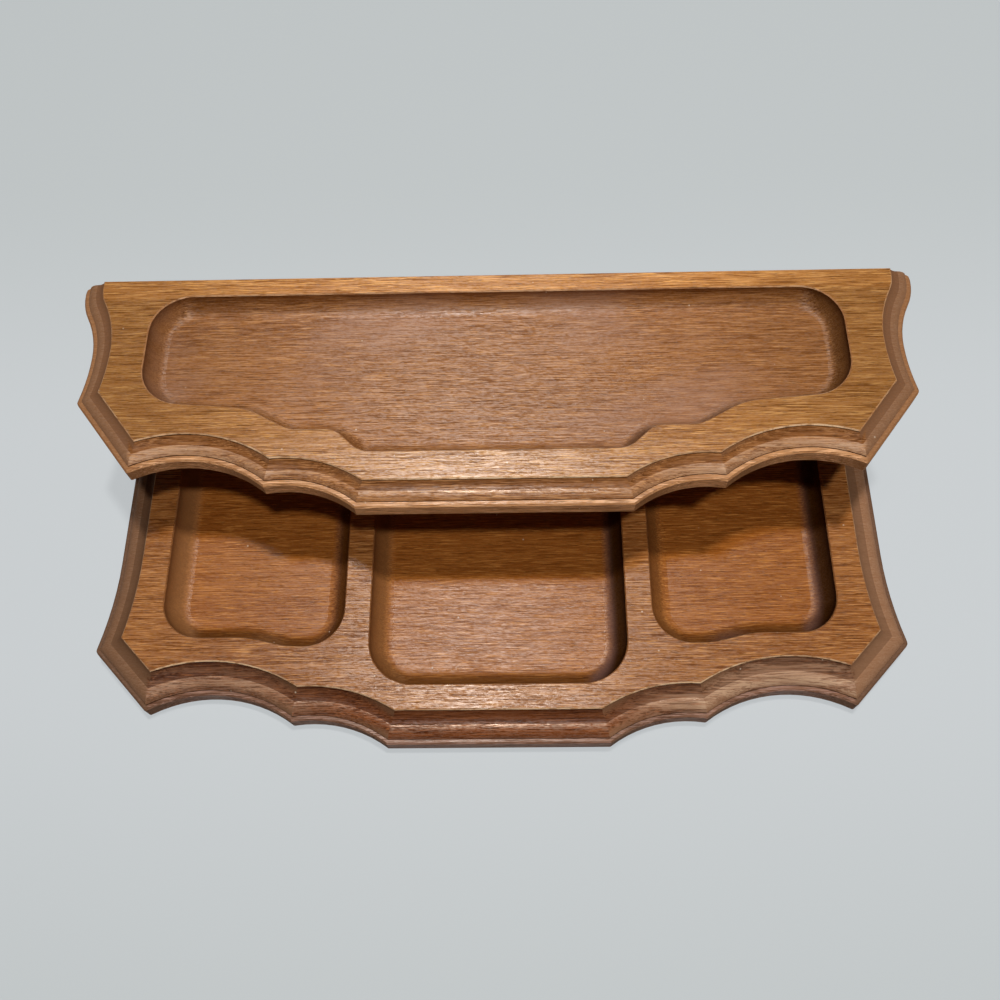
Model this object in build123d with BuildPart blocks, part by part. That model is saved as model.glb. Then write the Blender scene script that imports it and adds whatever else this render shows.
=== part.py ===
"""A two-tier valet tray of solid wood for a dresser top.

A deep lower board with three routed pockets carries a shallower upper board
with one long pocket on two short uprights. Both boards have a scalloped front,
hollow sides that end in rounded ears, a moulded edge and a flat rear edge.
X runs left to right, Y from the front to the rear, Z up.
The origin is on the surface that the tray stands on, below the middle of it.
"""

import os
from dataclasses import dataclass
from math import radians, tan

from build123d import *

os.makedirs("parts", exist_ok=True)

# Sizes that both boards share
corner_width = 295.0
ear_overhang = 4.4
tray_depth = 159.2
tier_gap = 37.0
overrun = 6.0

# Lower board
lower_thickness = 14.0
lower_front_flat = 78.6
lower_inner_scallop_width = 34.2
lower_inner_scallop_rise = 8.3
lower_inner_scallop_hollow = 3.5
lower_outer_scallop_rise = 4.2
lower_outer_scallop_hollow = 7.6
lower_facet_width = 21.3
lower_facet_rise = 22.1
lower_flare = 4.6
lower_flare_length = 34.7
lower_ear_sweep = 30.9

# Upper board
upper_depth = 91.0
upper_thickness = 10.5
upper_front_flat = 93.8
upper_inner_scallop_width = 31.4
upper_inner_scallop_rise = 8.2
upper_inner_scallop_hollow = 3.6
upper_outer_scallop_rise = 5.8
upper_outer_scallop_hollow = 7.1
upper_facet_width = 21.8
upper_facet_rise = 27.8
upper_flare = 2.4
upper_flare_length = 19.0
upper_ear_sweep = 27.3

# Both ears; a straight side shorter than the least one gives way to the flare
ear_straight = 2.9
ear_hollow_share = 0.62
least_side_straight = 1.0

# Moulded edge of the lower board: a step, a cove, a bead and a lip
lower_moulding_width = 10.4
lower_lip_ledge = 1.7
lower_lip_drop = 7.0
lower_step_height = 0.9
lower_quirk = 0.6

# Moulded edge of the upper board
upper_moulding_width = 8.2
upper_lip_ledge = 1.9
upper_lip_drop = 4.3
upper_step_height = 0.8
upper_quirk = 0.5

# Eased edges
arris_ease = 0.4
lip_ease = 0.6
cusp_round = 0.8
corner_round = 3.0
ear_round = 2.5

# Pockets of the lower board
lower_pocket_depth = 8.0
lower_pocket_cove = 7.4
centre_pocket_width = 92.2
centre_pocket_setback = 19.6
centre_pocket_corner = 16.0
divider_width = 9.6
side_rim = 10.4
side_pocket_setback = 37.4
side_pocket_corner = 14.0
side_pocket_bulge_share = 0.091
side_pocket_wave_shares = (0.172, 0.534)
side_pocket_wave_round_share = 0.3
pocket_rear_rim = 14.0

# Pocket of the upper board
upper_pocket_depth = 6.8
upper_pocket_cove = 6.2
upper_side_rim = 12.7
upper_rear_rim = 7.5
upper_pocket_setback = 19.1
upper_pocket_corner = 15.0
upper_pocket_swell = 20.7
upper_pocket_wave_shares = ((0.365, 0.0), (0.44, 0.42), (0.565, 0.42), (0.69, 0.845))
upper_pocket_wave_round_shares = (0.28, 0.22, 0.24, 0.29)

# Uprights between the boards
upright_thickness = 9.5
upright_length = 40.0
upright_rear_inset = 8.2
upright_round = 2.0

# Dowels between the uprights and the upper board, a little outward of the uprights' middle
dowel_diameter = 4.8
dowel_length = 18.0
dowel_in_upper = 6.0
dowel_spacing = 24.0
dowel_outward = 0.8
dowel_chamfer = 0.5
dowel_end_gap = 0.5

# Screws that hold the lower board to the uprights
screw_shank_diameter = 3.5
screw_head_diameter = 7.0
screw_head_angle = 90.0
screw_length = 28.0
screw_spacing = 24.0
screw_head_sink = 0.4
screw_point_length = 4.0
screw_end_gap = 0.5
recess_length = 3.4
recess_width = 0.8
recess_depth = 1.2

# Play around each dowel and screw
fit_clearance = 0.1

# Felt pads
pad_diameter = 14.0
pad_thickness = 1.2
pad_side_inset = 31.0
pad_front_inset = 34.0
pad_rear_inset = 15.0

# Left and right
sides = (-1, 1)

# Levels and positions worked out from the sizes above
rear = tray_depth / 2
ear_x = corner_width / 2 + ear_overhang
lower_front = -tray_depth / 2
upper_front = rear - upper_depth
lower_base = pad_thickness
lower_top = lower_base + lower_thickness
upper_base = lower_top + tier_gap
upper_top = upper_base + upper_thickness
lower_waist = corner_width / 2 - lower_flare
upper_waist = corner_width / 2 - upper_flare
side_pocket_outer = lower_waist - lower_moulding_width - side_rim
side_pocket_inner = centre_pocket_width / 2 + divider_width
upper_pocket_end = upper_waist - upper_moulding_width - upper_side_rim
upright_x = side_pocket_outer + side_rim / 2
upright_y = rear - upright_rear_inset - upright_length / 2
dowel_x = upright_x + dowel_outward
dowel_base = upper_base + dowel_in_upper - dowel_length
screw_base = lower_base + screw_head_sink
head_radius = screw_head_diameter / 2
shank_radius = screw_shank_diameter / 2
head_slope = tan(radians(screw_head_angle / 2))
head_height = (head_radius - shank_radius) / head_slope
pad_x = lower_waist - pad_side_inset
front_pad_y = lower_front + pad_front_inset
rear_pad_y = rear - pad_rear_inset


@dataclass
class Board:
    """Sizes of one board's outline and of its moulded edge."""

    front: float
    base: float
    thickness: float
    front_flat: float
    inner_width: float
    inner_rise: float
    inner_hollow: float
    outer_rise: float
    outer_hollow: float
    facet_width: float
    facet_rise: float
    flare: float
    flare_length: float
    ear_sweep: float
    moulding_width: float
    lip_ledge: float
    lip_drop: float
    step_height: float
    quirk: float


lower = Board(
    front=lower_front,
    base=lower_base,
    thickness=lower_thickness,
    front_flat=lower_front_flat,
    inner_width=lower_inner_scallop_width,
    inner_rise=lower_inner_scallop_rise,
    inner_hollow=lower_inner_scallop_hollow,
    outer_rise=lower_outer_scallop_rise,
    outer_hollow=lower_outer_scallop_hollow,
    facet_width=lower_facet_width,
    facet_rise=lower_facet_rise,
    flare=lower_flare,
    flare_length=lower_flare_length,
    ear_sweep=lower_ear_sweep,
    moulding_width=lower_moulding_width,
    lip_ledge=lower_lip_ledge,
    lip_drop=lower_lip_drop,
    step_height=lower_step_height,
    quirk=lower_quirk,
)
upper = Board(
    front=upper_front,
    base=upper_base,
    thickness=upper_thickness,
    front_flat=upper_front_flat,
    inner_width=upper_inner_scallop_width,
    inner_rise=upper_inner_scallop_rise,
    inner_hollow=upper_inner_scallop_hollow,
    outer_rise=upper_outer_scallop_rise,
    outer_hollow=upper_outer_scallop_hollow,
    facet_width=upper_facet_width,
    facet_rise=upper_facet_rise,
    flare=upper_flare,
    flare_length=upper_flare_length,
    ear_sweep=upper_ear_sweep,
    moulding_width=upper_moulding_width,
    lip_ledge=upper_lip_ledge,
    lip_drop=upper_lip_drop,
    step_height=upper_step_height,
    quirk=upper_quirk,
)


def right_runs(board):
    """The right half of a board's outline seen from above, as runs between its sharp corners."""
    middle = Vector(0, board.front)
    flat_end = Vector(board.front_flat / 2, board.front)
    inner_cusp = flat_end + Vector(board.inner_width, board.inner_rise)
    corner = Vector(corner_width / 2, inner_cusp.Y + board.outer_rise + board.facet_rise)
    outer_cusp = corner - Vector(board.facet_width, board.facet_rise)
    ear = Vector(ear_x, rear - ear_straight)
    waist_x = corner.X - board.flare
    ear_start = Vector(waist_x, ear.Y - board.ear_sweep)
    ear_turn = ear_start + (ear - ear_start) * ear_hollow_share
    flare_end = Vector(waist_x, corner.Y + board.flare_length)
    has_straight = ear_start.Y - flare_end.Y > least_side_straight
    waist = flare_end if has_straight else ear_start

    ear_hollow = TangentArc(ear_start, ear_turn, tangent=(0, 1))
    side = [
        TangentArc(waist, corner, tangent=(0, -1)),
        ear_hollow,
        TangentArc(ear_turn, ear, tangent=ear_hollow % 1),
        Line(ear, (ear.X, rear)),
    ]
    if has_straight:
        side.insert(1, Line(waist, ear_start))
    return [
        Wire([Line(middle, flat_end)]),
        Wire([SagittaArc(flat_end, inner_cusp, board.inner_hollow)]),
        Wire([SagittaArc(inner_cusp, outer_cusp, board.outer_hollow)]),
        Wire([Line(outer_cusp, corner)]),
        Wire(side),
    ]


def section_plane(board, run):
    """A plane across the start of a run: x points into the board, y points up."""
    start = run @ 0
    inward = Vector(0, 0, 1).cross(run % 0)
    if inward.dot(Vector(0, rear) - start) < 0:
        inward = -inward
    lifted = start + Vector(0, 0, board.base + board.thickness)
    return Plane(origin=lifted, x_dir=inward, z_dir=inward.cross(Vector(0, 0, 1)))


def moulded_board(board):
    """A board cut to its outline, with the moulding cut along its front and sides."""
    runs = right_runs(board)
    top = board.base + board.thickness
    ledge_end = (board.lip_ledge, -board.lip_drop)
    bead_foot = (board.lip_ledge, -board.lip_drop + board.quirk)
    cove_head = (board.moulding_width, -board.step_height)
    middle = (Vector(bead_foot) + Vector(cove_head)) / 2
    lip_face_top = (0, -board.lip_drop - lip_ease)

    with BuildPart() as made:
        with BuildSketch(Plane.XY.offset(board.base)):
            with BuildLine():
                for run in runs:
                    add(run)
                Line((ear_x, rear), (0, rear))
                mirror(about=Plane.YZ)
            make_face()
        extrude(amount=board.thickness)
        *cusps, corner = [run @ 1 for run in runs[:-1]]
        rounded = {cusp_round: cusps, corner_round: [corner], ear_round: [Vector(ear_x, rear)]}
        for radius, places in rounded.items():
            both_sides = [Vertex(side * place.X, place.Y, board.base) for place in places for side in sides]
            verticals = made.edges().filter_by(Axis.Z)
            fillet([verticals.sort_by_distance(place)[0] for place in both_sides], radius=radius)

        for run in runs + [mirror(run, about=Plane.YZ, mode=Mode.PRIVATE) for run in runs]:
            with BuildSketch(section_plane(board, run)):
                with BuildLine():
                    TangentArc(middle, cove_head, tangent=(1, 0))
                    Polyline(
                        cove_head,
                        (board.moulding_width, overrun),
                        (-overrun, overrun),
                        (-overrun, -board.lip_drop - lip_ease),
                        lip_face_top,
                        (lip_ease, -board.lip_drop),
                        ledge_end,
                        bead_foot,
                    )
                    TangentArc(middle, bead_foot, tangent=(-1, 0))
                make_face()
            sweep(path=run.moved(Location((0, 0, top))), mode=Mode.SUBTRACT)

        field = made.faces().sort_by(Axis.Z)[-1]
        chamfer(field.outer_wire().edges(), length=arris_ease)
        underside = made.faces().sort_by(Axis.Z)[0]
        chamfer(underside.outer_wire().edges(), length=arris_ease)
    return made.part


def wave_radius(before, point, after, share):
    """The radius that rounds a corner over a share of its shorter neighbouring edge."""
    arriving = Vector(point) - Vector(before)
    leaving = Vector(after) - Vector(point)
    turn = radians(arriving.get_angle(leaving))
    return share * min(arriving.length, leaving.length) / tan(turn / 2)


def centre_pocket_points():
    """The right half of the centre pocket's corners, each with its radius."""
    half_width = centre_pocket_width / 2
    return [
        ((half_width, lower_front + centre_pocket_setback), centre_pocket_corner),
        ((half_width, rear - pocket_rear_rim), side_pocket_corner),
    ]


def side_pocket_points():
    """The right side pocket's corners; its front edge has a shallow wave between its corners."""
    front = lower_front + side_pocket_setback
    back = rear - pocket_rear_rim
    wave_start = side_pocket_inner + side_pocket_corner
    wave_length = side_pocket_outer - side_pocket_corner - wave_start
    bulge_front = front - side_pocket_bulge_share * wave_length
    bulge_end, wave_end = [wave_start + wave_length * share for share in side_pocket_wave_shares]
    inner_corner = (side_pocket_inner, bulge_front)
    bulge = (bulge_end, bulge_front)
    wave = (wave_end, front)
    outer_corner = (side_pocket_outer, front)
    return [
        ((side_pocket_inner, back), side_pocket_corner),
        (inner_corner, side_pocket_corner),
        (bulge, wave_radius(inner_corner, bulge, wave, side_pocket_wave_round_share)),
        (wave, wave_radius(bulge, wave, outer_corner, side_pocket_wave_round_share)),
        (outer_corner, side_pocket_corner),
        ((side_pocket_outer, back), side_pocket_corner),
    ]


def upper_pocket_points():
    """The right half of the long pocket's corners; its front edge steps with the scallops."""
    front = upper_front + upper_pocket_setback
    wave = [
        (upper_pocket_end * across, front + upper_pocket_swell * along)
        for across, along in upper_pocket_wave_shares
    ]
    end_corner = (upper_pocket_end, front + upper_pocket_swell)
    neighbours = [(0, front)] + wave + [end_corner]
    points = [
        (point, wave_radius(before, point, after, share))
        for before, point, after, share in zip(
            neighbours, wave, neighbours[2:], upper_pocket_wave_round_shares
        )
    ]
    points.append((end_corner, upper_pocket_corner))
    points.append(((upper_pocket_end, rear - upper_rear_rim), upper_pocket_corner))
    return points


def mirrored(points):
    """The same corners on the left, in the opposite order."""
    return [((-x, y), corner) for (x, y), corner in reversed(points)]


def rounded_outline(points):
    """A closed outline through the corners, each rounded by its radius."""
    return FilletPolyline(
        [point for point, corner in points],
        radius=[corner for point, corner in points],
        close=True,
    )


def holes_from_below(places, level):
    """Planes that face down at a level, one at each place."""
    return [Plane(origin=(x, y, level), z_dir=(0, 0, -1)) for x, y in places]


dowel_places = [
    (side * dowel_x, upright_y + end * dowel_spacing / 2) for side in sides for end in sides
]
screw_places = [
    (side * upright_x, upright_y + end * screw_spacing / 2) for side in sides for end in sides
]

# Lower board: three pockets, and countersunk holes from below
lower_blank = moulded_board(lower)
with BuildPart() as lower_tray:
    add(lower_blank)
    with BuildSketch(Plane.XY.offset(lower_top)):
        for points in (
            centre_pocket_points() + mirrored(centre_pocket_points()),
            side_pocket_points(),
            mirrored(side_pocket_points()),
        ):
            with BuildLine():
                rounded_outline(points)
            make_face()
    extrude(amount=-lower_pocket_depth, mode=Mode.SUBTRACT)
    floors = lower_tray.faces().filter_by(Axis.Z).group_by(Axis.Z)[1]
    fillet(floors.edges(), radius=lower_pocket_cove)
    field = lower_tray.faces().sort_by(Axis.Z)[-1]
    chamfer(field.inner_wires().edges(), length=arris_ease)
    with Locations(*holes_from_below(screw_places, lower_base)):
        CounterSinkHole(
            radius=shank_radius + fit_clearance,
            counter_sink_radius=head_radius + screw_head_sink * head_slope + fit_clearance,
            counter_sink_angle=screw_head_angle,
        )
lower_tray.part.label = "lower_tray"
export_step(lower_tray.part, "parts/lower_tray.step")

# Upper board: one long pocket, and blind dowel holes from below
upper_blank = moulded_board(upper)
with BuildPart() as upper_tray:
    add(upper_blank)
    with BuildSketch(Plane.XY.offset(upper_top)):
        with BuildLine():
            rounded_outline(upper_pocket_points() + mirrored(upper_pocket_points()))
        make_face()
    extrude(amount=-upper_pocket_depth, mode=Mode.SUBTRACT)
    floor = upper_tray.faces().filter_by(Axis.Z).group_by(Axis.Z)[1]
    fillet(floor.edges(), radius=upper_pocket_cove)
    field = upper_tray.faces().sort_by(Axis.Z)[-1]
    chamfer(field.inner_wires().edges(), length=arris_ease)
    with Locations(*holes_from_below(dowel_places, upper_base)):
        Hole(radius=dowel_diameter / 2 + fit_clearance, depth=dowel_in_upper + dowel_end_gap)
upper_tray.part.label = "upper_tray"
export_step(upper_tray.part, "parts/upper_tray.step")

# Uprights, with blind holes for the screws and the dowels
for name, side in (("left_upright", -1), ("right_upright", 1)):
    with BuildPart() as upright:
        with BuildSketch(Plane.XY.offset(lower_top)):
            with Locations((side * upright_x, upright_y)):
                RectangleRounded(upright_thickness, upright_length, upright_round)
        extrude(amount=tier_gap)
        own_screws = [place for place in screw_places if place[0] * side > 0]
        with Locations(*holes_from_below(own_screws, lower_top)):
            Hole(
                radius=shank_radius + fit_clearance,
                depth=screw_base + screw_length - lower_top + screw_end_gap,
            )
        own_dowels = [(x, y, upper_base) for x, y in dowel_places if x * side > 0]
        with Locations(*own_dowels):
            Hole(
                radius=dowel_diameter / 2 + fit_clearance,
                depth=dowel_length - dowel_in_upper + dowel_end_gap,
            )
    upright.part.label = name
    export_step(upright.part, f"parts/{name}.step")

# Dowels
with BuildPart() as dowels:
    with Locations(*[(x, y, dowel_base) for x, y in dowel_places]):
        Cylinder(dowel_diameter / 2, dowel_length, align=(Align.CENTER, Align.CENTER, Align.MIN))
    chamfer(dowels.edges().filter_by(GeomType.CIRCLE), length=dowel_chamfer)
dowels.part.label = "dowels"
export_step(dowels.part, "parts/dowels.step")

# Countersunk screws with a cross recess, heads down
with BuildPart() as screws:
    for x, y in screw_places:
        with BuildSketch(Plane(origin=(x, y, screw_base), x_dir=(1, 0, 0), z_dir=(0, -1, 0))):
            with BuildLine():
                Polyline(
                    (0, 0),
                    (head_radius, 0),
                    (shank_radius, head_height),
                    (shank_radius, screw_length - screw_point_length),
                    (0, screw_length),
                    close=True,
                )
            make_face()
        revolve(axis=Axis((x, y, 0), (0, 0, 1)))
    with BuildSketch(Plane.XY.offset(screw_base)):
        with Locations(*screw_places):
            Rectangle(recess_length, recess_width)
            Rectangle(recess_width, recess_length)
    extrude(amount=recess_depth, mode=Mode.SUBTRACT)
screws.part.label = "screws"
export_step(screws.part, "parts/screws.step")

# Felt pads
pad_places = {
    "front_left_pad": (-pad_x, front_pad_y),
    "front_right_pad": (pad_x, front_pad_y),
    "rear_left_pad": (-pad_x, rear_pad_y),
    "rear_right_pad": (pad_x, rear_pad_y),
}
for name, place in pad_places.items():
    with BuildPart() as pad:
        with BuildSketch():
            with Locations(place):
                Circle(pad_diameter / 2)
        extrude(amount=pad_thickness)
    pad.part.label = name
    export_step(pad.part, f"parts/{name}.step")
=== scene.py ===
"""Looks of the two-tier wooden valet tray, in metres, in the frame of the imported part."""

import math
from dataclasses import dataclass

import bpy
from mathutils import Matrix, Vector


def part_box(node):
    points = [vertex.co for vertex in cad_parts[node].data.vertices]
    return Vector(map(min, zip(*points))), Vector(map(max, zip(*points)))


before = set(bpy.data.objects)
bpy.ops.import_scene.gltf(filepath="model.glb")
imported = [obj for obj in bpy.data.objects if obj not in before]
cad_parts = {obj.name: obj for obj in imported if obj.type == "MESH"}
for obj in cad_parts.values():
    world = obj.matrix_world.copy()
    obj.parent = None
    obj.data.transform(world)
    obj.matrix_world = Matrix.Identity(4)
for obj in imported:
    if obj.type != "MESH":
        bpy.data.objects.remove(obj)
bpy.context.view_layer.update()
scene = bpy.context.scene
scene.view_settings.view_transform = "Standard"

# The camera, at the photograph's view
CAMERA_PLACE = Vector((0.0097, -0.1567, 0.3757))
CAMERA_DOWN_DEG = 65.05
CAMERA_TURN_DEG = -3.03
CAMERA_ROLL_DEG = -3.47
LENS_MM = 37.8
SENSOR_MM = 36.0
CLIP_RANGE = (0.01, 20.0)

# Directions to the lamps, as sideways slopes for a rise of one
REAR_LAMP_SLOPES = (0.073, 0.11)
FRONT_LAMP_SLOPES = (0.134, -0.28)
SHEEN_LAMP_SLOPES = (-0.046, 0.145)
LAMP_HEIGHT = 1.6
REAR_LAMP_SIZE = 0.12
FRONT_LAMP_SIZE = 0.11
SHEEN_LAMP_SIZE = 0.13
CEILING_SIZE = 2.4
REAR_LAMP_WATTS = 14.0
FRONT_LAMP_WATTS = 10.5
SHEEN_LAMP_WATTS = 29.0
CEILING_WATTS = 1.2
LAMP_COLOR = (1.0, 1.0, 1.0)
SHEEN_COLOR = (1.0, 0.91, 0.82)
ROOM_COLOR = (1.0, 0.84, 0.7)
ROOM_LIGHT = 0.03

# The table as light falls on it, and as the camera sees it
TABLE_HALF_WIDTH = 3.0
TABLE_COLOR = (0.58, 0.60, 0.605)
TABLE_VIEW_COLOR = (0.62, 0.655, 0.675)
TABLE_FAR_COLOR = (0.54, 0.578, 0.585)
TABLE_VIEW_SHARE = 0.7

# How far a surface may lie from its level and still count as that level, the part of its normal
# along an axis above which it counts as square to that axis, and the upward part below which as upright
LEVEL_PLAY = 0.00005
FLAT_SLOPE = 0.999
UPRIGHT_SLOPE = 0.15

# How often each pattern of the wood repeats in a metre, along X, Y and Z
PATCH_SCALE = (9, 26, 26)
BAND_SCALE = (14, 520, 420)
FIBRE_SCALE = (75, 2300, 2300)
STREAK_SCALE = (110, 2600, 2600)
PORE_SCALE = (300, 3600, 3600)
HAZE_SCALE = (16, 26, 26)
SPECKLE_SCALE = (1300, 1300, 1300)
RUB_SCALE = (300, 420, 420)
SLOW_RUB_SCALE = (22, 22, 22)
ROUGHNESS_SCALE = (260, 1900, 1900)
GLITTER_SCALE = (600, 2400, 2400)
DUST_SCALE = 210.0

# What lies on the wood, the painted sheen toward the mouldings' ends, the painted warm light and cool sheen on
# the pockets' walls, and the bare wood where the stain is rubbed off
HAZE_COLOR = (0.36, 0.18, 0.11)
END_PAINTED_SHEEN_COLOR = (0.52, 0.315, 0.19)
WARM_PAINTED_LIGHT_COLOR = (0.36, 0.17, 0.068)
COOL_PAINTED_SHEEN_COLOR = (0.17, 0.088, 0.074)
DUST_COLOR = (0.66, 0.54, 0.4)
RUBBED_COLOR = (0.8, 0.54, 0.32)

# How a fibre's colour differs from the grain's, for red, green and blue
DARK_FIBRE = (0.5, 0.43, 0.4)
PALE_FIBRE = (1.38, 1.6, 2.0)
PORE_DARKNESS = (0.25, 0.25, 0.25)

# Where a side's moulding begins, as a share of the board's reach to the side
SIDE_MOULDING = (0.82, 0.83)

# Stretches along X over which a tone changes
LEFT_TO_MIDDLE_POCKET = (-0.065, -0.03)
LEFT_END = (-0.095, -0.045)
RIGHT_END = (0.03, 0.08)


@dataclass
class Wood:
    """The tone of a stretch of wood, and how it shines."""

    # The light and the dark grain, and how strongly dark fibres show
    light: tuple
    dark: tuple
    contrast: float = 0.8

    # The shine, and how far it varies from fibre to fibre
    shine: float = 0.35
    shine_tint: tuple = (1.0, 1.0, 1.0)
    roughness: float = 0.4
    glitter: float = 0.8

    # Factors on the shine near the front, and on the tone at the rear edge, as painted light, and at both ends,
    # as painted shade
    front_shine: float = 1.0
    rear_painted_light: float = 1.0
    side_painted_shade: float = 1.0

    # How strongly an edge is rubbed, and how strong the haze is in places
    wear: float = 0.0
    haze: float = 0.0

    # On mouldings, the tone of faces turned to the sides, left and right its level, which paints shade at the
    # left and light at the right, and the painted sheen toward the ends
    side_tone: tuple = None
    side_painted_light_levels: tuple = (1.0, 1.0)
    end_painted_sheen: tuple = None

    # In pockets, factors of painted shade on the tone of the walls, of those facing left and of the front ones,
    # and a factor on the front ones' shine
    wall: float = 1.0
    left_facing: float = 1.0
    front_wall: float = 1.0
    front_wall_shine: float = 1.0

    # In pockets, the strength of the painted cool sheen on walls facing left, and left and right of the painted
    # warm light on walls facing right
    cool_painted_sheen: float = 0.0
    warm_painted_light: tuple = None


@dataclass
class Board:
    """One board: its levels below the top, where its pockets begin, and the woods of its surfaces."""

    node: str
    seed: int
    arris_ease: float
    step_height: float
    lip_drop: float
    quirk: float
    # For each kind of pocket, the range of its distance from the middle, and its front
    pocket_bounds: tuple
    woods: dict


LOWER = Board(
    node="lower_tray",
    seed=1,
    arris_ease=0.0004,
    step_height=0.0009,
    lip_drop=0.007,
    quirk=0.0006,
    pocket_bounds=((0.0, 0.0475, -0.061), (0.0545, 0.1235, -0.0465)),
    woods={
        "field": Wood((0.39, 0.148, 0.037), (0.255, 0.084, 0.018), front_shine=0.94),
        "pocket": Wood(
            (0.375, 0.125, 0.022), (0.275, 0.081, 0.012), contrast=0.62, roughness=0.45, glitter=0.6,
            wall=0.55, left_facing=0.27, front_wall=0.8, front_wall_shine=0.25,
            cool_painted_sheen=0.55, warm_painted_light=(0.42, 0.12),
        ),
        "cove": Wood(
            (0.145, 0.042, 0.012), (0.07, 0.017, 0.005), shine=0.13,
            side_tone=(0.18, 0.09, 0.046), side_painted_light_levels=(0.88, 1.3), end_painted_sheen=(0.1, 0.35),
        ),
        "bead": Wood(
            (0.22, 0.059, 0.014), (0.105, 0.024, 0.005),
            shine=0.74, shine_tint=(1.0, 0.81, 0.66), roughness=0.41,
            side_tone=(0.25, 0.125, 0.064), side_painted_light_levels=(0.88, 1.3), end_painted_sheen=(0.38, 0.74),
        ),
        "lip": Wood((0.28, 0.135, 0.078), (0.16, 0.07, 0.038), shine=0.2, side_tone=(0.16, 0.082, 0.045)),
        # The crevice wood is darkened as dirt and as painted shade
        "crevice_dirt_and_shade": Wood((0.08, 0.028, 0.009), (0.04, 0.012, 0.004), shine=0.1),
        "arris": Wood((0.38, 0.16, 0.056), (0.24, 0.09, 0.03), shine=0.15, wear=0.85),
        "inner_arris": Wood((0.32, 0.12, 0.034), (0.18, 0.062, 0.016), shine=0.15, wear=0.15),
    },
)
UPPER = Board(
    node="upper_tray",
    seed=5,
    arris_ease=0.0004,
    step_height=0.0008,
    lip_drop=0.0043,
    quirk=0.0005,
    pocket_bounds=((0.0, 0.06, 0.007), (0.06, 0.1255, 0.0165)),
    woods={
        "field": Wood(
            (0.48, 0.2, 0.048), (0.34, 0.127, 0.025), front_shine=1.7, rear_painted_light=1.3, side_painted_shade=0.72
        ),
        "pocket": Wood(
            (0.37, 0.141, 0.037), (0.255, 0.088, 0.019), contrast=0.7, roughness=0.45,
            side_painted_shade=0.79, haze=0.45, wall=0.8, left_facing=0.6,
        ),
        "cove": Wood((0.3, 0.115, 0.033), (0.18, 0.063, 0.017), shine=0.15, side_tone=(0.2, 0.095, 0.047)),
        "bead": Wood(
            (0.42, 0.172, 0.053), (0.25, 0.088, 0.025),
            shine=0.65, shine_tint=(1.0, 0.9, 0.8), roughness=0.45,
            side_tone=(0.25, 0.122, 0.06), end_painted_sheen=(0.34, 0.46),
        ),
        "lip": Wood((0.62, 0.295, 0.12), (0.42, 0.185, 0.07), shine=0.3, side_tone=(0.3, 0.135, 0.055)),
        # The crevice wood is darkened as dirt and as painted shade
        "crevice_dirt_and_shade": Wood((0.1, 0.036, 0.012), (0.05, 0.017, 0.005), shine=0.1),
        "arris": Wood((0.46, 0.2, 0.07), (0.31, 0.125, 0.042), shine=0.15, wear=1.0),
        "inner_arris": Wood((0.42, 0.175, 0.06), (0.28, 0.105, 0.032), shine=0.15, wear=0.4),
    },
)
UPRIGHT_WOOD = Wood((0.32, 0.13, 0.045), (0.18, 0.065, 0.02))
UPRIGHT_SEED = 9


def rgba(color):
    return (*color, 1.0)


def scaled(color, factors):
    return tuple(part * factor for part, factor in zip(color, factors))


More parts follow.
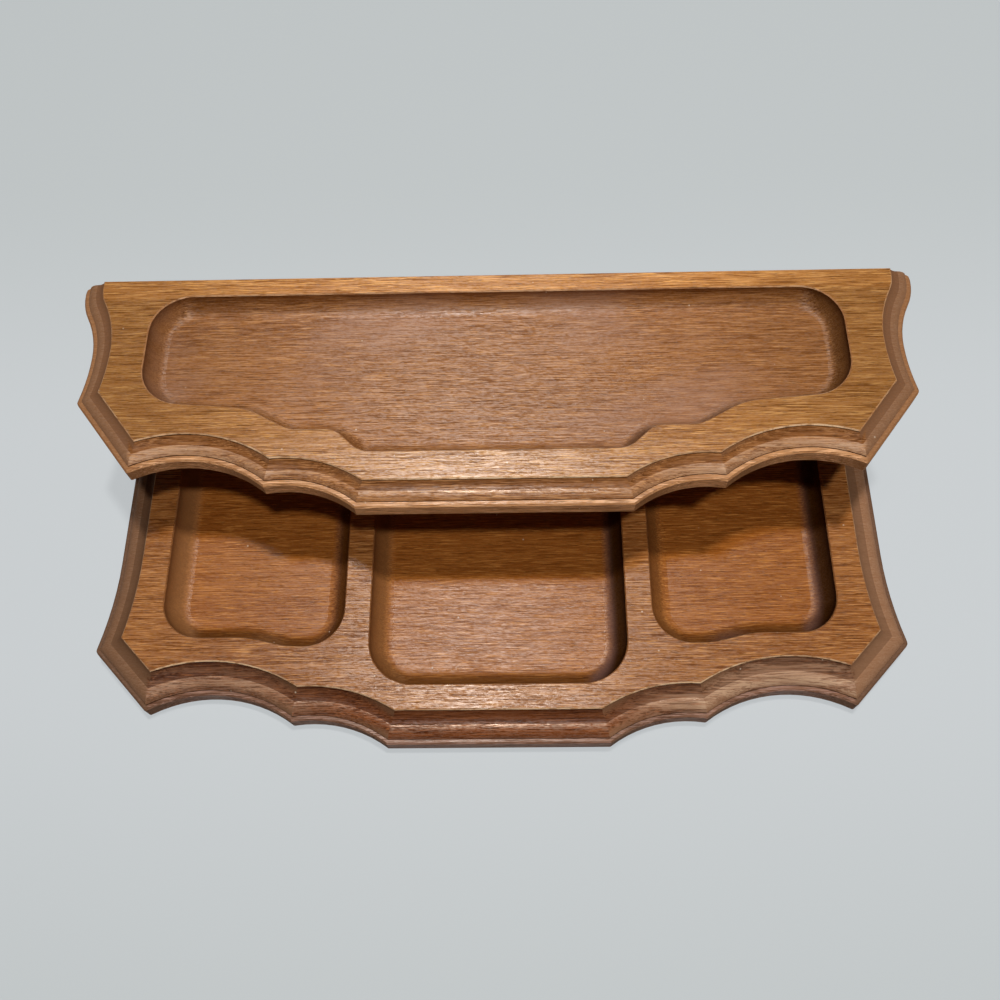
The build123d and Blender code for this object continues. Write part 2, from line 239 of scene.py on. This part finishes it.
class Nodes:
    """A short way to write a material's node tree."""

    def __init__(self, name):
        self.material = bpy.data.materials.new(name)
        self.material.use_nodes = True
        self.tree = self.material.node_tree
        self.shader = self.tree.nodes["Principled BSDF"]

    def add(self, kind, inputs=(), **settings):
        node = self.tree.nodes.new(kind)
        for key, value in settings.items():
            setattr(node, key, value)
        for socket, value in dict(inputs).items():
            self.put(node.inputs[socket], value)
        return node

    def put(self, socket, value):
        if isinstance(value, bpy.types.NodeSocket):
            self.tree.links.new(value, socket)
        elif isinstance(value, bpy.types.Node):
            self.tree.links.new(value.outputs[0], socket)
        else:
            socket.default_value = value

    def put_shader(self, **inputs):
        """Set the surface's own inputs, each written with _ for a space."""
        for name, value in inputs.items():
            self.put(self.shader.inputs[name.replace("_", " ")], value)

    def math(self, operation, first, second=0.0, third=0.0):
        return self.add("ShaderNodeMath", {0: first, 1: second, 2: third}, operation=operation).outputs[0]

    def vector_math(self, operation, first, second):
        return self.add("ShaderNodeVectorMath", {0: first, 1: second}, operation=operation)

    def times(self, first, *others):
        for other in others:
            first = self.math("MULTIPLY", first, other)
        return first

    def blend(self, share, first, second):
        """The sum of a share of the first value and the rest of the second."""
        return self.math("MULTIPLY_ADD", first, share, self.times(second, 1 - share))

    def mix(self, amount, first, second, blend_type="MIX"):
        node = self.add("ShaderNodeMix", data_type="RGBA", blend_type=blend_type)
        self.put(node.inputs["Factor"], amount)
        self.put(node.inputs["A"], first)
        self.put(node.inputs["B"], second)
        return node.outputs["Result"]

    def tint(self, amount, color, other):
        """A colour moved toward another fixed one."""
        return self.mix(amount, color, rgba(other))

    def dim(self, color, level):
        """A colour times a level of grey."""
        grey = self.add("ShaderNodeCombineXYZ", {0: level, 1: level, 2: level})
        return self.mix(1.0, color, grey, "MULTIPLY")

    def ramp(self, value, low, high, low_out=0.0, high_out=1.0):
        """A smooth step from one value to another while the input goes from low to high."""
        node = self.add("ShaderNodeMapRange", interpolation_type="SMOOTHSTEP")
        inputs = {"Value": value, "From Min": low, "From Max": high, "To Min": low_out, "To Max": high_out}
        for socket, given in inputs.items():
            self.put(node.inputs[socket], given)
        return node.outputs["Result"]

    def point(self):
        """The point on the object, in metres."""
        return self.add("ShaderNodeTexCoord").outputs["Object"]

    def split(self, vector):
        return self.add("ShaderNodeSeparateXYZ", {0: vector}).outputs

    def noise(self, scale, detail=2.0, roughness=0.5, distortion=0.0, offset=(0.0, 0.0, 0.0)):
        stretched = self.add("ShaderNodeMapping", {"Vector": self.point(), "Scale": scale, "Location": offset})
        inputs = {
            "Vector": stretched, "Scale": 1.0, "Detail": detail,
            "Roughness": roughness, "Distortion": distortion,
        }
        return self.add("ShaderNodeTexNoise", inputs).outputs["Fac"]

    def bump(self, height, strength, distance):
        inputs = {"Height": height, "Strength": strength, "Distance": distance}
        self.put_shader(Normal=self.add("ShaderNodeBump", inputs))


class StainedWood(Nodes):
    """Rubbed reddish brown wood whose grain runs along X, on a piece with the given box."""

    def __init__(self, name, wood, seed, low, high):
        super().__init__(name)
        self.wood = wood
        self.low = low
        self.high = high
        self.offset = Vector((seed * 0.37, seed * 0.53, seed * 0.71))
        self.x, self.y, _ = self.split(self.point())
        self.normal = self.add("ShaderNodeNewGeometry").outputs["Normal"]
        self.facing = self.split(self.normal)
        self.end_grain = self.math("ABSOLUTE", self.facing["X"])
        self.outward = self.math("ABSOLUTE", self.x)
        self.along_grain = self.ramp(self.end_grain, 0.15, 0.75, 1.0, 0.35)

        # Patterns that more than one step below follows
        self.patches = self.seeded(PATCH_SCALE, 3, 0.55, 0.6)
        self.bands = self.seeded(BAND_SCALE, 4, 0.65, 0.5)
        self.fibres = self.seeded(FIBRE_SCALE, 2, 0.6, 0.3)
        self.pores = self.times(self.ramp(self.seeded(PORE_SCALE, 1, 0.4), 0.6, 0.72), self.along_grain)

        color = self.grain()
        if wood.haze:
            color = self.hazy(color)
        if wood.end_painted_sheen:
            color = self.painted_end_sheen(color)
        if wood.side_tone:
            color = self.turned_sides(color)
        if wood.left_facing < 1:
            color = self.painted_wall_shade(color)
        if wood.cool_painted_sheen:
            color = self.painted_wall_light_and_sheen(color)
        color = self.dusty(self.painted_falloff(color))
        if wood.wear:
            color = self.rubbed(color)
        self.put_shader(Base_Color=color, Specular_Tint=rgba(wood.shine_tint))
        self.add_shine()
        relief = self.math("SUBTRACT", self.times(self.fibres, 0.6), self.times(self.pores, 0.7))
        self.bump(relief, 0.4, 0.00006)

    def seeded(self, scale, detail=2.0, roughness=0.5, distortion=0.0, shift=1.0):
        """Noise that differs from seed to seed, moved on by a shift."""
        return self.noise(scale, detail, roughness, distortion, self.offset * shift)

    def grain(self):
        """Slow changes of tone along the grain, dark and light fibres, and fine pores."""
        wood = self.wood
        tone = self.blend(0.6, self.bands, self.patches)
        color = self.mix(self.ramp(tone, 0.36, 0.64), rgba(wood.dark), rgba(wood.light))
        darkening = self.times(self.ramp(self.fibres, 0.49, 0.36, 0.0, wood.contrast), self.along_grain)
        color = self.tint(darkening, color, scaled(wood.dark, DARK_FIBRE))
        streaks = self.seeded(STREAK_SCALE, 2, 0.6, 0.3, shift=-1.0)
        lightening = self.times(self.ramp(streaks, 0.52, 0.64), self.along_grain)
        color = self.tint(lightening, color, scaled(wood.light, PALE_FIBRE))
        return self.tint(self.times(self.pores, 0.5), color, scaled(wood.dark, PORE_DARKNESS))

    def hazy(self, color):
        """A dull haze in places."""
        patches = self.ramp(self.seeded(HAZE_SCALE, 3, shift=2.0), 0.48, 0.66)
        return self.tint(self.times(patches, self.wood.haze), color, HAZE_COLOR)

    def painted_end_sheen(self, color):
        """A painted sheen toward both ends of a moulding, strongest on top and following the grain."""
        left, right = self.wood.end_painted_sheen
        at_left = self.ramp(self.x, *LEFT_END, left, 0.0)
        at_right = self.ramp(self.x, *RIGHT_END, 0.0, right)
        # Painted sheen, stronger on faces turned up
        amount = self.times(
            self.math("ADD", at_left, at_right),
            self.ramp(self.bands, 0.38, 0.62, 0.35, 1.3),
            self.ramp(self.fibres, 0.38, 0.52, 0.5, 1.1),
            self.ramp(self.facing["Z"], 0.35, 0.8, 0.45, 1.1),
        )
        return self.tint(amount, color, END_PAINTED_SHEEN_COLOR)

    def turned_sides(self, color):
        """Faces turned to the sides are greyer, and so is all of a side's moulding. Its levels left and right
        paint shade and light on that grey.
        """
        speckle = self.ramp(self.seeded(SPECKLE_SCALE), 0.3, 0.7, 0.8, 1.0)
        begin, end = (self.high.x * share for share in SIDE_MOULDING)
        turned = self.math("MAXIMUM", self.ramp(self.end_grain, 0.15, 0.5), self.ramp(self.outward, begin, end))
        # Painted shade at the left and painted light at the right
        level = self.ramp(self.x, -0.05, 0.05, *self.wood.side_painted_light_levels)
        return self.mix(self.times(turned, speckle), color, self.dim(rgba(self.wood.side_tone), level))

    def painted_wall_shade(self, color):
        """Painted shade: the tone is darker on the walls of a pocket, most on those facing left, away from the
        lamps, and on the front walls, as in the photograph.
        """
        wood = self.wood
        # Painted shade on walls facing left, lighter in the left pocket than further right
        stain = self.ramp(self.x, *LEFT_TO_MIDDLE_POCKET, (1 + wood.left_facing) / 2, wood.left_facing)
        shade = self.times(
            self.ramp(self.facing["X"], -0.55, -0.04, stain, 1.0),
            self.ramp(self.facing["Z"], 0.86, 0.999, wood.wall, 1.0),
            self.front_facing(wood.front_wall),
        )
        return self.dim(color, shade)

    def front_facing(self, factor):
        """The factor on a pocket's front wall, which faces the rear, and one elsewhere."""
        return self.ramp(self.facing["Y"], 0.05, 0.3, 1.0, factor)

    def painted_wall_light_and_sheen(self, color):
        """A warm painted light on the walls that face right, toward the lamps, and a cool painted sheen low on
        those that face left.
        """
        strength = self.wood.cool_painted_sheen
        warm = self.times(
            self.ramp(self.facing["X"], 0.03, 0.3),
            self.ramp(self.x, -0.1, 0.02, *self.wood.warm_painted_light),
        )
        cool = self.times(
            self.ramp(self.facing["X"], -0.03, -0.25),
            self.ramp(self.facing["X"], -0.7, -0.3),
            self.ramp(self.x, *LEFT_TO_MIDDLE_POCKET, 0.4 * strength, strength),
            self.ramp(self.patches, 0.35, 0.6, 0.5, 1.0),
        )
        return self.tint(cool, self.tint(warm, color, WARM_PAINTED_LIGHT_COLOR), COOL_PAINTED_SHEEN_COLOR)

    def painted_falloff(self, color):
        """Painted shade and light: the tone falls off toward both ends of the board, and rises along its rear
        edge.
        """
        end_shade = self.ramp(self.outward, 0.06, 0.135, 1.0, self.wood.side_painted_shade)
        rear_light = self.ramp(self.y, self.high.y - 0.01, self.high.y - 0.007, 1.0, self.wood.rear_painted_light)
        return self.dim(color, self.times(end_shade, rear_light))

    def dusty(self, color):
        """Pale specks of dust, each in a cell of its own, in a few cells only."""
        cells = self.add("ShaderNodeTexVoronoi", {"Vector": self.point(), "Scale": DUST_SCALE})
        near = self.ramp(cells.outputs["Distance"], 0.04, 0.09, 1.0, 0.0)
        draw = self.add("ShaderNodeSeparateColor", {0: cells.outputs["Color"]}).outputs[0]
        return self.tint(self.times(near, self.ramp(draw, 0.84, 0.86), 0.6), color, DUST_COLOR)

    def rubbed(self, color):
        """Hands and cloths have rubbed the stain off an edge in places, less so on end grain."""
        amount = self.times(
            self.ramp(self.seeded(RUB_SCALE, 3, 0.6), 0.38, 0.56, 0.25, 1.0),
            self.ramp(self.seeded(SLOW_RUB_SCALE), 0.36, 0.58, 0.4, 1.0),
            self.ramp(self.end_grain, 0.2, 0.6, 1.0, 0.35),
            self.wood.wear,
        )
        return self.tint(amount, color, RUBBED_COLOR)

    def add_shine(self):
        """A shine that fibres spread across the grain, and that glitters from fibre to fibre."""
        wood = self.wood
        roughness = self.ramp(
            self.seeded(ROUGHNESS_SCALE), 0.25, 0.75, wood.roughness - 0.06, wood.roughness + 0.08
        )
        duller = self.ramp(self.end_grain, 0.02, 0.35, 0.0, 0.28)
        glitter = self.blend(0.6, self.seeded(GLITTER_SCALE, 2, 0.7), self.fibres)
        least, most = wood.shine * (1 - wood.glitter), wood.shine * (1 + wood.glitter)
        shine = self.times(
            self.ramp(glitter, 0.41, 0.59, least, most),
            self.ramp(self.y, self.low.y + 0.014, self.low.y + 0.03, wood.front_shine, 1.0),
            self.ramp(self.end_grain, 0.15, 0.5, 1.0, 0.3),
            self.front_facing(wood.front_wall_shine),
        )
        # Tilted a little, so that it isn't zero on end grain
        across = self.vector_math("CROSS_PRODUCT", self.normal, (1.0, 0.0, 0.0))
        self.put_shader(
            Roughness=self.math("ADD", roughness, duller),
            Specular_IOR_Level=shine,
            Tangent=self.vector_math("ADD", across, (0.0, 0.02, 0.01)),
            Anisotropic=self.ramp(self.end_grain, 0.2, 0.6, 0.68, 0.0),
        )


def bare_wood():
    n = Nodes("beech")
    fibres = n.noise((900, 900, 120), 3)
    n.put_shader(Base_Color=n.mix(fibres, rgba((0.42, 0.26, 0.13)), rgba((0.62, 0.44, 0.26))), Roughness=0.7)
    n.bump(fibres, 0.3, 0.0001)
    return n.material


def plated_steel():
    n = Nodes("zinc_plate")
    mottle = n.noise((700, 700, 700), 3)
    n.put_shader(
        Base_Color=n.mix(mottle, rgba((0.42, 0.41, 0.38)), rgba((0.66, 0.65, 0.6))),
        Metallic=1.0,
        Roughness=n.ramp(mottle, 0.3, 0.7, 0.28, 0.48),
    )
    return n.material


def felt():
    n = Nodes("felt")
    fuzz = n.noise((2600, 2600, 2600), 4, 0.7)
    tufts = n.ramp(n.noise((500, 500, 500), 3), 0.35, 0.7, 0.0, 0.4)
    color = n.mix(fuzz, rgba((0.02, 0.015, 0.012)), rgba((0.085, 0.065, 0.05)))
    n.put_shader(Base_Color=n.tint(tufts, color, (0.05, 0.04, 0.03)), Roughness=0.95, Sheen_Weight=0.4)
    n.bump(fuzz, 0.9, 0.0004)
    return n.material


def table_top():
    """A pale matt table, which the camera sees partly in a tone of its own."""
    n = Nodes("table")
    shaded = tuple(0.985 * part for part in TABLE_COLOR)
    n.put_shader(
        Base_Color=n.mix(n.noise((3, 3, 3)), rgba(shaded), rgba(TABLE_COLOR)),
        Roughness=0.6,
        Specular_IOR_Level=0.2,
    )
    # Seen by the camera, the table is darker away from the middle, a painted falloff of light
    far = n.ramp(n.math("ABSOLUTE", n.split(n.point())["Y"]), 0.04, 0.19)
    seen = n.mix(far, rgba(TABLE_VIEW_COLOR), rgba(TABLE_FAR_COLOR))
    by_camera = n.add("ShaderNodeLightPath").outputs["Is Camera Ray"]
    both = n.add("ShaderNodeMixShader", {0: n.times(by_camera, TABLE_VIEW_SHARE)})
    n.put(both.inputs[1], n.shader)
    n.put(both.inputs[2], n.add("ShaderNodeEmission", {"Color": seen}))
    n.put(n.tree.nodes["Material Output"].inputs["Surface"], both)
    return n.material


def surface_kind(board, top, face):
    """Which wood a face of a board's mesh gets. On the rear edge, faces behind a pocket get its wood too."""
    depth = top - face.center.z
    slope = face.normal.z
    if depth < LEVEL_PLAY:
        return "field"
    in_pocket = any(
        near <= abs(face.center.x) <= far and face.center.y > front
        for near, far, front in board.pocket_bounds
    )
    if slope > UPRIGHT_SLOPE and depth < board.arris_ease:
        return "inner_arris" if in_pocket else "arris"
    if in_pocket and slope > -UPRIGHT_SLOPE:
        return "pocket"
    if slope < -UPRIGHT_SLOPE or face.normal.y > FLAT_SLOPE:
        return "field"
    quirk_head = board.lip_drop - board.quirk
    if abs(slope) < UPRIGHT_SLOPE:
        # The step's and the quirk's upright faces get wood darkened as dirt and painted shade
        in_crevice = depth < board.step_height or quirk_head < depth < board.lip_drop
        return "crevice_dirt_and_shade" if in_crevice else "lip"
    if depth > board.lip_drop or (slope > FLAT_SLOPE and abs(depth - board.lip_drop) < LEVEL_PLAY):
        return "lip"
    return "cove" if depth < (board.step_height + quirk_head) / 2 else "bead"


def dress(node, material):
    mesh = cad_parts[node].data
    mesh.materials.clear()
    mesh.materials.append(material)


def dress_board(board):
    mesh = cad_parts[board.node].data
    low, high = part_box(board.node)
    mesh.materials.clear()
    for kind, wood in board.woods.items():
        name = board.node + "_" + kind
        mesh.materials.append(StainedWood(name, wood, board.seed, low, high).material)
    kinds = list(board.woods)
    for face in mesh.polygons:
        face.material_index = kinds.index(surface_kind(board, high.z, face))


def dress_all():
    for board in (LOWER, UPPER):
        dress_board(board)
    upright_wood = StainedWood("upright_wood", UPRIGHT_WOOD, UPRIGHT_SEED, *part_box("left_upright")).material
    for upright in ("left_upright", "right_upright"):
        dress(upright, upright_wood)
    dress("dowels", bare_wood())
    dress("screws", plated_steel())
    pad_felt = felt()
    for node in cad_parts:
        if node.endswith("_pad"):
            dress(node, pad_felt)


def add_table():
    half = TABLE_HALF_WIDTH
    corners = [(-half, -half, 0), (half, -half, 0), (half, half, 0), (-half, half, 0)]
    mesh = bpy.data.meshes.new("table")
    mesh.from_pydata(corners, [], [(0, 1, 2, 3)])
    mesh.materials.append(table_top())
    table = bpy.data.objects.new("table", mesh)
    scene.collection.objects.link(table)


def add_lamp(name, slopes, size, watts, color):
    data = bpy.data.lights.new(name, "AREA")
    data.shape = "DISK"
    data.size = size
    data.energy = watts
    data.color = color
    lamp = bpy.data.objects.new(name, data)
    lamp.location = Vector((*slopes, 1)) * LAMP_HEIGHT
    lamp.rotation_euler = (-lamp.location).to_track_quat("-Z", "Y").to_euler()
    scene.collection.objects.link(lamp)
    return lamp


def add_lights():
    """Two lamps that cast the shadows, two lights that only shine on the wood, and a dim room."""
    shadow_lamps = (
        add_lamp("rear_lamp", REAR_LAMP_SLOPES, REAR_LAMP_SIZE, REAR_LAMP_WATTS, LAMP_COLOR),
        add_lamp("front_lamp", FRONT_LAMP_SLOPES, FRONT_LAMP_SIZE, FRONT_LAMP_WATTS, LAMP_COLOR),
    )
    for lamp in shadow_lamps:
        lamp.visible_glossy = False
    sheen_lamps = (
        add_lamp("sheen_lamp", SHEEN_LAMP_SLOPES, SHEEN_LAMP_SIZE, SHEEN_LAMP_WATTS, SHEEN_COLOR),
        add_lamp("ceiling", SHEEN_LAMP_SLOPES, CEILING_SIZE, CEILING_WATTS, SHEEN_COLOR),
    )
    for lamp in sheen_lamps:
        lamp.visible_diffuse = False
    world = bpy.data.worlds.new("soft_room")
    world.use_nodes = True
    background = world.node_tree.nodes["Background"]
    background.inputs["Color"].default_value = rgba(ROOM_COLOR)
    background.inputs["Strength"].default_value = ROOM_LIGHT
    scene.world = world


def add_camera():
    data = bpy.data.cameras.new("camera")
    data.sensor_fit = "HORIZONTAL"
    data.sensor_width = SENSOR_MM
    data.lens = LENS_MM
    data.clip_start, data.clip_end = CLIP_RANGE
    camera = bpy.data.objects.new("camera", data)
    down, turn, roll = (math.radians(a) for a in (CAMERA_DOWN_DEG, CAMERA_TURN_DEG, CAMERA_ROLL_DEG))
    level = Vector((math.sin(turn), math.cos(turn), 0))
    forward = level * math.cos(down) - Vector((0, 0, math.sin(down)))
    right = forward.cross(Vector((0, 0, 1))).normalized()
    up = right.cross(forward)
    rolled = right * math.cos(roll) + up * math.sin(roll)
    axes = Matrix((rolled, rolled.cross(forward), -forward)).transposed()
    camera.matrix_world = Matrix.Translation(CAMERA_PLACE) @ axes.to_4x4()
    scene.collection.objects.link(camera)
    scene.camera = camera


dress_all()
add_table()
add_lights()
add_camera()
